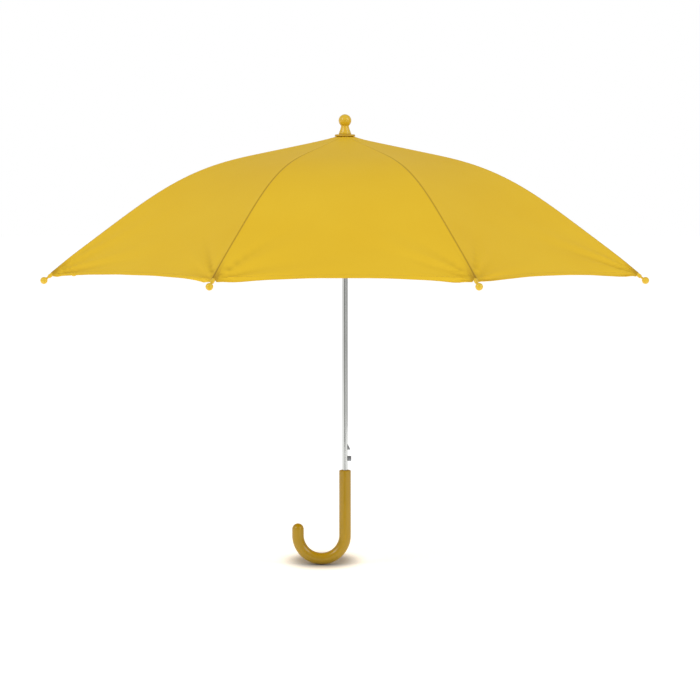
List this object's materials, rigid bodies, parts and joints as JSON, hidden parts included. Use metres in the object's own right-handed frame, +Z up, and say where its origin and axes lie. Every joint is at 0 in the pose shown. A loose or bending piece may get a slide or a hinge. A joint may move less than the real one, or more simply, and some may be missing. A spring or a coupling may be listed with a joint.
{
  "type": "umbrella",
  "caption": "Child-size stick umbrella with a domed fabric canopy on a folding double-strut frame, ball tips, button catch and a J hook handle.",
  "frame": {"origin": "on the shaft's axis, halfway up the handle's straight grip, where a hand holds it", "axes": "+Z up the shaft to the finial, +X towards the side that the catch is on, -X towards the hook, at rest open"},
  "size_m": [0.8414, 0.8414, 0.6581],
  "materials": {
    "canopy_fabric": "plain woven polyester, slightly glossy",
    "moulded_plastic": "glossy moulded",
    "grip_plastic": "glossy moulded",
    "clamp_plastic": "satin moulded",
    "hub_plastic": "satin moulded",
    "chromed_steel": "bright plated",
    "rib_steel": "zinc plated, rolled",
    "spring_steel": "plain drawn"
  },
  "bodies": {
    "root": {"shaft": "chromed_steel", "handle": "grip_plastic", "finial": "moulded_plastic", "top_washer": "clamp_plastic", "crown": "hub_plastic", "crown_wire": "spring_steel"},
    "rib_1": {"rib_1": "rib_steel", "canopy_1": "canopy_fabric"},
    "rib_2": {"rib_2": "rib_steel", "canopy_2": "canopy_fabric"},
    "rib_3": {"rib_3": "rib_steel", "canopy_3": "canopy_fabric"},
    "rib_4": {"rib_4": "rib_steel", "canopy_4": "canopy_fabric"},
    "rib_5": {"rib_5": "rib_steel", "canopy_5": "canopy_fabric"},
    "rib_6": {"rib_6": "rib_steel", "canopy_6": "canopy_fabric"},
    "rib_7": {"rib_7": "rib_steel", "canopy_7": "canopy_fabric"},
    "rib_8": {"rib_8": "rib_steel", "canopy_8": "canopy_fabric"},
    "rib_end_1": {"rib_end_1": "rib_steel", "tip_1": "moulded_plastic"},
    "rib_end_2": {"rib_end_2": "rib_steel", "tip_2": "moulded_plastic"},
    "rib_end_3": {"rib_end_3": "rib_steel", "tip_3": "moulded_plastic"},
    "rib_end_4": {"rib_end_4": "rib_steel", "tip_4": "moulded_plastic"},
    "rib_end_5": {"rib_end_5": "rib_steel", "tip_5": "moulded_plastic"},
    "rib_end_6": {"rib_end_6": "rib_steel", "tip_6": "moulded_plastic"},
    "rib_end_7": {"rib_end_7": "rib_steel", "tip_7": "moulded_plastic"},
    "rib_end_8": {"rib_end_8": "rib_steel", "tip_8": "moulded_plastic"},
    "stretcher_1": {"stretcher_1": "rib_steel"},
    "stretcher_2": {"stretcher_2": "rib_steel"},
    "stretcher_3": {"stretcher_3": "rib_steel"},
    "stretcher_4": {"stretcher_4": "rib_steel"},
    "stretcher_5": {"stretcher_5": "rib_steel"},
    "stretcher_6": {"stretcher_6": "rib_steel"},
    "stretcher_7": {"stretcher_7": "rib_steel"},
    "stretcher_8": {"stretcher_8": "rib_steel"},
    "strut_1": {"strut_1": "rib_steel"},
    "strut_2": {"strut_2": "rib_steel"},
    "strut_3": {"strut_3": "rib_steel"},
    "strut_4": {"strut_4": "rib_steel"},
    "strut_5": {"strut_5": "rib_steel"},
    "strut_6": {"strut_6": "rib_steel"},
    "strut_7": {"strut_7": "rib_steel"},
    "strut_8": {"strut_8": "rib_steel"},
    "upper_slider": {"upper_slider": "hub_plastic", "upper_slider_wire": "spring_steel", "opening_spring": "spring_steel"},
    "runner": {"runner": "hub_plastic", "runner_wire": "spring_steel"},
    "catch": {"catch": "spring_steel"}
  },
  "joints": [
    {"name": "canopy_fold", "type": "hinge", "parent": "root", "child": "rib_1", "pos_m": [0.00739, 0.00306, 0.5219], "axis": [-0.3827, 0.9239, 0], "range_deg": [0, 75.32], "stiffness_Nm_per_rad": 0.6, "springref_deg": -85.94, "deforming": ["canopy_1"]},
    {"name": "rib_fold_2", "type": "hinge", "parent": "root", "child": "rib_2", "pos_m": [0.00306, 0.00739, 0.5219], "axis": [-0.9239, 0.3827, 0], "range_deg": [-0.1, 75.42], "deforming": ["canopy_2"]},
    {"name": "rib_fold_3", "type": "hinge", "parent": "root", "child": "rib_3", "pos_m": [-0.00306, 0.00739, 0.5219], "axis": [-0.9239, -0.3827, 0], "range_deg": [-0.1, 75.42], "deforming": ["canopy_3"]},
    {"name": "rib_fold_4", "type": "hinge", "parent": "root", "child": "rib_4", "pos_m": [-0.00739, 0.00306, 0.5219], "axis": [-0.3827, -0.9239, 0], "range_deg": [-0.1, 75.42], "deforming": ["canopy_4"]},
    {"name": "rib_fold_5", "type": "hinge", "parent": "root", "child": "rib_5", "pos_m": [-0.00739, -0.00306, 0.5219], "axis": [0.3827, -0.9239, 0], "range_deg": [-0.1, 75.42], "deforming": ["canopy_5"]},
    {"name": "rib_fold_6", "type": "hinge", "parent": "root", "child": "rib_6", "pos_m": [-0.00306, -0.00739, 0.5219], "axis": [0.9239, -0.3827, 0], "range_deg": [-0.1, 75.42], "deforming": ["canopy_6"]},
    {"name": "rib_fold_7", "type": "hinge", "parent": "root", "child": "rib_7", "pos_m": [0.00306, -0.00739, 0.5219], "axis": [0.9239, 0.3827, 0], "range_deg": [-0.1, 75.42], "deforming": ["canopy_7"]},
    {"name": "rib_fold_8", "type": "hinge", "parent": "root", "child": "rib_8", "pos_m": [0.00739, -0.00306, 0.5219], "axis": [0.3827, 0.9239, 0], "range_deg": [-0.1, 75.42], "deforming": ["canopy_8"]},
    {"name": "stretcher_hinge_1", "type": "hinge", "parent": "rib_1", "child": "stretcher_1", "pos_m": [0.17831, 0.07386, 0.48701], "axis": [-0.3827, 0.9239, 0], "range_deg": [-150.74, 0.1]},
    {"name": "stretcher_hinge_2", "type": "hinge", "parent": "rib_2", "child": "stretcher_2", "pos_m": [0.07386, 0.17831, 0.48701], "axis": [-0.9239, 0.3827, 0], "range_deg": [-150.74, 0.1]},
    {"name": "stretcher_hinge_3", "type": "hinge", "parent": "rib_3", "child": "stretcher_3", "pos_m": [-0.07386, 0.17831, 0.48701], "axis": [-0.9239, -0.3827, 0], "range_deg": [-150.74, 0.1]},
    {"name": "stretcher_hinge_4", "type": "hinge", "parent": "rib_4", "child": "stretcher_4", "pos_m": [-0.17831, 0.07386, 0.48701], "axis": [-0.3827, -0.9239, 0], "range_deg": [-150.74, 0.1]},
    {"name": "stretcher_hinge_5", "type": "hinge", "parent": "rib_5", "child": "stretcher_5", "pos_m": [-0.17831, -0.07386, 0.48701], "axis": [0.3827, -0.9239, 0], "range_deg": [-150.74, 0.1]},
    {"name": "stretcher_hinge_6", "type": "hinge", "parent": "rib_6", "child": "stretcher_6", "pos_m": [-0.07386, -0.17831, 0.48701], "axis": [0.9239, -0.3827, 0], "range_deg": [-150.74, 0.1]},
    {"name": "stretcher_hinge_7", "type": "hinge", "parent": "rib_7", "child": "stretcher_7", "pos_m": [0.07386, -0.17831, 0.48701], "axis": [0.9239, 0.3827, 0], "range_deg": [-150.74, 0.1]},
    {"name": "stretcher_hinge_8", "type": "hinge", "parent": "rib_8", "child": "stretcher_8", "pos_m": [0.17831, -0.07386, 0.48701], "axis": [0.3827, 0.9239, 0], "range_deg": [-150.74, 0.1]},
    {"name": "rib_bend_1", "type": "hinge", "parent": "rib_1", "child": "rib_end_1", "pos_m": [0.17831, 0.07386, 0.48701], "axis": [-0.3827, 0.9239, 0], "range_deg": [-15.57, 0.1]},
    {"name": "rib_bend_2", "type": "hinge", "parent": "rib_2", "child": "rib_end_2", "pos_m": [0.07386, 0.17831, 0.48701], "axis": [-0.9239, 0.3827, 0], "range_deg": [-15.57, 0.1]},
    {"name": "rib_bend_3", "type": "hinge", "parent": "rib_3", "child": "rib_end_3", "pos_m": [-0.07386, 0.17831, 0.48701], "axis": [-0.9239, -0.3827, 0], "range_deg": [-15.57, 0.1]},
    {"name": "rib_bend_4", "type": "hinge", "parent": "rib_4", "child": "rib_end_4", "pos_m": [-0.17831, 0.07386, 0.48701], "axis": [-0.3827, -0.9239, 0], "range_deg": [-15.57, 0.1]},
    {"name": "rib_bend_5", "type": "hinge", "parent": "rib_5", "child": "rib_end_5", "pos_m": [-0.17831, -0.07386, 0.48701], "axis": [0.3827, -0.9239, 0], "range_deg": [-15.57, 0.1]},
    {"name": "rib_bend_6", "type": "hinge", "parent": "rib_6", "child": "rib_end_6", "pos_m": [-0.07386, -0.17831, 0.48701], "axis": [0.9239, -0.3827, 0], "range_deg": [-15.57, 0.1]},
    {"name": "rib_bend_7", "type": "hinge", "parent": "rib_7", "child": "rib_end_7", "pos_m": [0.07386, -0.17831, 0.48701], "axis": [0.9239, 0.3827, 0], "range_deg": [-15.57, 0.1]},
    {"name": "rib_bend_8", "type": "hinge", "parent": "rib_8", "child": "rib_end_8", "pos_m": [0.17831, -0.07386, 0.48701], "axis": [0.3827, 0.9239, 0], "range_deg": [-15.57, 0.1]},
    {"name": "upper_slider_hinge", "type": "hinge", "parent": "stretcher_1", "child": "upper_slider", "pos_m": [0.00739, 0.00306, 0.45213], "axis": [-0.3827, 0.9239, 0], "range_deg": [-0.1, 75.42]},
    {"name": "runner_slide", "type": "slide", "parent": "upper_slider", "child": "runner", "axis": [0, 0, 1], "range_m": [-0.0001, 0.02625], "deforming": ["opening_spring", "catch"]},
    {"name": "strut_hinge_1", "type": "hinge", "parent": "runner", "child": "strut_1", "pos_m": [0.01178, 0.00488, 0.39088], "axis": [-0.3827, 0.9239, 0], "range_deg": [-30.82, 0.1]},
    {"name": "strut_hinge_2", "type": "hinge", "parent": "runner", "child": "strut_2", "pos_m": [0.00488, 0.01178, 0.39088], "axis": [-0.9239, 0.3827, 0], "range_deg": [-30.82, 0.1]},
    {"name": "strut_hinge_3", "type": "hinge", "parent": "runner", "child": "strut_3", "pos_m": [-0.00488, 0.01178, 0.39088], "axis": [-0.9239, -0.3827, 0], "range_deg": [-30.82, 0.1]},
    {"name": "strut_hinge_4", "type": "hinge", "parent": "runner", "child": "strut_4", "pos_m": [-0.01178, 0.00488, 0.39088], "axis": [-0.3827, -0.9239, 0], "range_deg": [-30.82, 0.1]},
    {"name": "strut_hinge_5", "type": "hinge", "parent": "runner", "child": "strut_5", "pos_m": [-0.01178, -0.00488, 0.39088], "axis": [0.3827, -0.9239, 0], "range_deg": [-30.82, 0.1]},
    {"name": "strut_hinge_6", "type": "hinge", "parent": "runner", "child": "strut_6", "pos_m": [-0.00488, -0.01178, 0.39088], "axis": [0.9239, -0.3827, 0], "range_deg": [-30.82, 0.1]},
    {"name": "strut_hinge_7", "type": "hinge", "parent": "runner", "child": "strut_7", "pos_m": [0.00488, -0.01178, 0.39088], "axis": [0.9239, 0.3827, 0], "range_deg": [-30.82, 0.1]},
    {"name": "strut_hinge_8", "type": "hinge", "parent": "runner", "child": "strut_8", "pos_m": [0.01178, -0.00488, 0.39088], "axis": [0.3827, 0.9239, 0], "range_deg": [-30.82, 0.1]},
    {"name": "catch_press", "type": "hinge", "parent": "root", "child": "catch", "pos_m": [0.0019, 0, 0.0402], "axis": [0, -1, 0], "range_deg": [0, 5.5], "stiffness_Nm_per_rad": 1.2, "springref_deg": -2.29}
  ],
  "couplings": [
    {"joint": "rib_fold_2", "follows": "canopy_fold", "ratio": 1},
    {"joint": "rib_fold_3", "follows": "canopy_fold", "ratio": 1},
    {"joint": "rib_fold_4", "follows": "canopy_fold", "ratio": 1},
    {"joint": "rib_fold_5", "follows": "canopy_fold", "ratio": 1},
    {"joint": "rib_fold_6", "follows": "canopy_fold", "ratio": 1},
    {"joint": "rib_fold_7", "follows": "canopy_fold", "ratio": 1},
    {"joint": "rib_fold_8", "follows": "canopy_fold", "ratio": 1},
    {"joint": "stretcher_hinge_1", "follows": "canopy_fold", "ratio": -2},
    {"joint": "stretcher_hinge_2", "follows": "canopy_fold", "ratio": -2},
    {"joint": "stretcher_hinge_3", "follows": "canopy_fold", "ratio": -2},
    {"joint": "stretcher_hinge_4", "follows": "canopy_fold", "ratio": -2},
    {"joint": "stretcher_hinge_5", "follows": "canopy_fold", "ratio": -2},
    {"joint": "stretcher_hinge_6", "follows": "canopy_fold", "ratio": -2},
    {"joint": "stretcher_hinge_7", "follows": "canopy_fold", "ratio": -2},
    {"joint": "stretcher_hinge_8", "follows": "canopy_fold", "ratio": -2},
    {"joint": "rib_bend_1", "follows": "canopy_fold", "ratio": -0.20533},
    {"joint": "rib_bend_2", "follows": "canopy_fold", "ratio": -0.20533},
    {"joint": "rib_bend_3", "follows": "canopy_fold", "ratio": -0.20533},
    {"joint": "rib_bend_4", "follows": "canopy_fold", "ratio": -0.20533},
    {"joint": "rib_bend_5", "follows": "canopy_fold", "ratio": -0.20533},
    {"joint": "rib_bend_6", "follows": "canopy_fold", "ratio": -0.20533},
    {"joint": "rib_bend_7", "follows": "canopy_fold", "ratio": -0.20533},
    {"joint": "rib_bend_8", "follows": "canopy_fold", "ratio": -0.20533},
    {"joint": "upper_slider_hinge", "follows": "canopy_fold", "ratio": 1},
    {"joint": "runner_slide", "follows": "canopy_fold", "m_per_rad": 0.019894},
    {"joint": "strut_hinge_1", "follows": "canopy_fold", "ratio": -0.40781},
    {"joint": "strut_hinge_2", "follows": "canopy_fold", "ratio": -0.40781},
    {"joint": "strut_hinge_3", "follows": "canopy_fold", "ratio": -0.40781},
    {"joint": "strut_hinge_4", "follows": "canopy_fold", "ratio": -0.40781},
    {"joint": "strut_hinge_5", "follows": "canopy_fold", "ratio": -0.40781},
    {"joint": "strut_hinge_6", "follows": "canopy_fold", "ratio": -0.40781},
    {"joint": "strut_hinge_7", "follows": "canopy_fold", "ratio": -0.40781},
    {"joint": "strut_hinge_8", "follows": "canopy_fold", "ratio": -0.40781}
  ]
}
